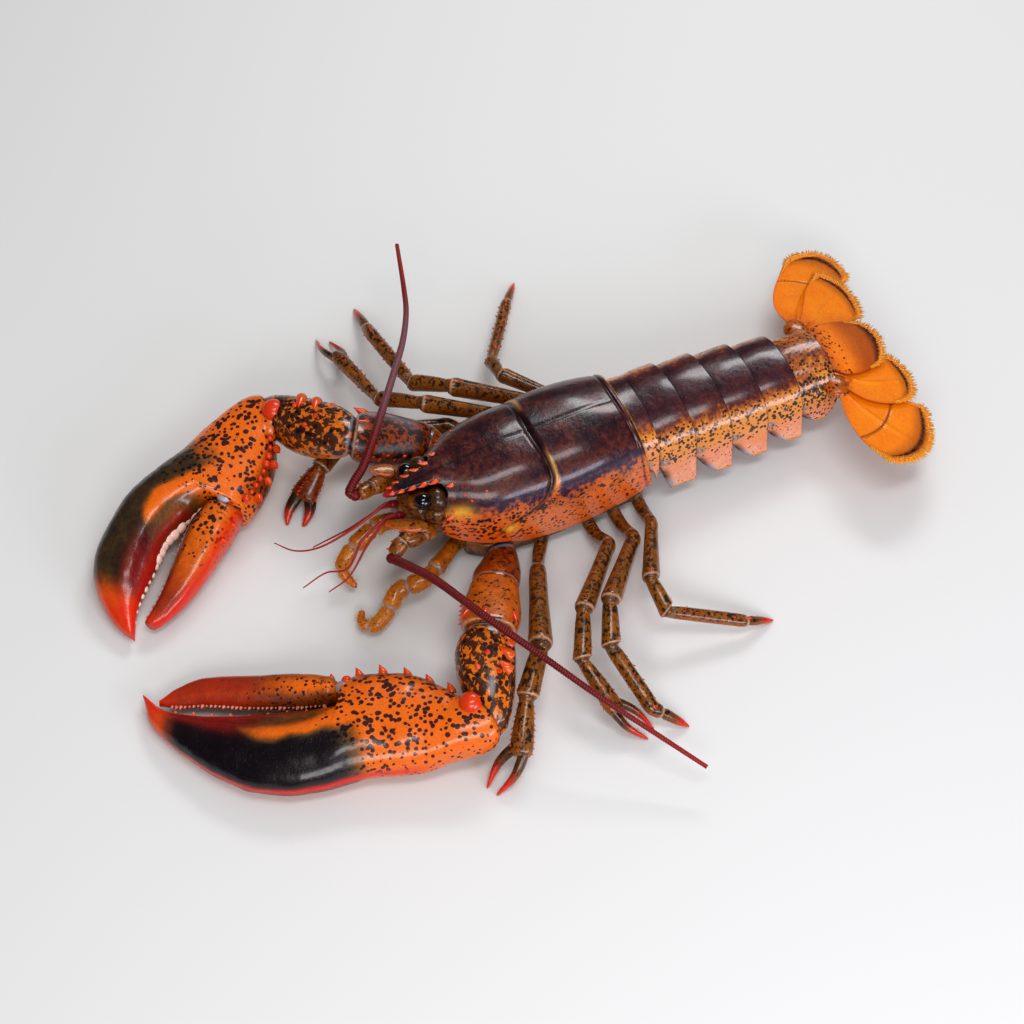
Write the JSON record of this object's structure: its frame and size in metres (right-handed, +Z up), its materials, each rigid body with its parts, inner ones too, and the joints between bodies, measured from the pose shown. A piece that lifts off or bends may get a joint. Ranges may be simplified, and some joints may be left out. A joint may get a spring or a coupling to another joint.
{
  "type": "american lobster",
  "caption": "Life-size american lobster, Homarus americanus, lying on its belly with its claws forward, legs spread, whip antennae swept back and tail fan open.",
  "frame": {"origin": "middle of the underside of the bounding box, on the surface the lobster rests on", "axes": "+Z up; the head points along -Y and the tail along +Y; +X is the lobster's own left"},
  "size_m": [0.3142, 0.3988, 0.0556],
  "materials": {
    "carapace_shell": "wet, glossy, mottled dark purple-brown to orange",
    "belly_shell": "satin, pale orange",
    "mouthparts": "satin, golden orange",
    "eye": "glossy black",
    "claw_shell": "wet, glossy, vivid orange with black speckles",
    "antenna": "satin, dark maroon",
    "tail_shell": "wet, glossy, dark brown to salmon at the sides",
    "fan_shell": "wet, glossy, bright orange with dark rims",
    "leg_shell": "wet, glossy, olive-brown mottled"
  },
  "bodies": {
    "root": {"carapace": "carapace_shell", "thorax": "belly_shell", "head": "mouthparts", "eye_left": "eye", "eye_right": "eye", "antenna_base_left": "claw_shell", "antenna_left": "antenna", "antenna_base_right": "claw_shell", "antenna_right": "antenna", "antennule_left": "antenna", "antennule_right": "antenna", "maxilliped_left": "mouthparts", "maxilliped_right": "mouthparts", "tail_segment_1": "tail_shell", "tail_segment_2": "tail_shell", "tail_segment_3": "tail_shell", "tail_segment_4": "tail_shell", "tail_segment_5": "tail_shell", "tail_segment_6": "tail_shell", "telson": "fan_shell", "fan_inner_left": "fan_shell", "fan_inner_right": "fan_shell", "fan_outer_left": "fan_shell", "fan_outer_right": "fan_shell", "leg_2_left_thigh": "leg_shell", "leg_2_left_shin": "leg_shell", "leg_2_left_foot": "leg_shell", "leg_3_left_thigh": "leg_shell", "leg_3_left_shin": "leg_shell", "leg_3_left_foot": "leg_shell", "leg_4_left_thigh": "leg_shell", "leg_4_left_shin": "leg_shell", "leg_4_left_foot": "leg_shell", "leg_5_left_thigh": "leg_shell", "leg_5_left_shin": "leg_shell", "leg_5_left_foot": "leg_shell", "leg_2_right_thigh": "leg_shell", "leg_2_right_shin": "leg_shell", "leg_2_right_foot": "leg_shell", "leg_3_right_thigh": "leg_shell", "leg_3_right_shin": "leg_shell", "leg_3_right_foot": "leg_shell", "leg_4_right_thigh": "leg_shell", "leg_4_right_shin": "leg_shell", "leg_4_right_foot": "leg_shell", "leg_5_right_thigh": "leg_shell", "leg_5_right_shin": "leg_shell", "leg_5_right_foot": "leg_shell", "arm_root_left": "claw_shell", "arm_upper_left": "claw_shell", "arm_lower_left": "claw_shell", "arm_root_right": "claw_shell", "arm_upper_right": "claw_shell", "arm_lower_right": "claw_shell", "claw_palm_left": "claw_shell", "claw_finger_left": "claw_shell", "claw_palm_right": "claw_shell", "claw_finger_right": "claw_shell"}
  },
  "joints": []
}
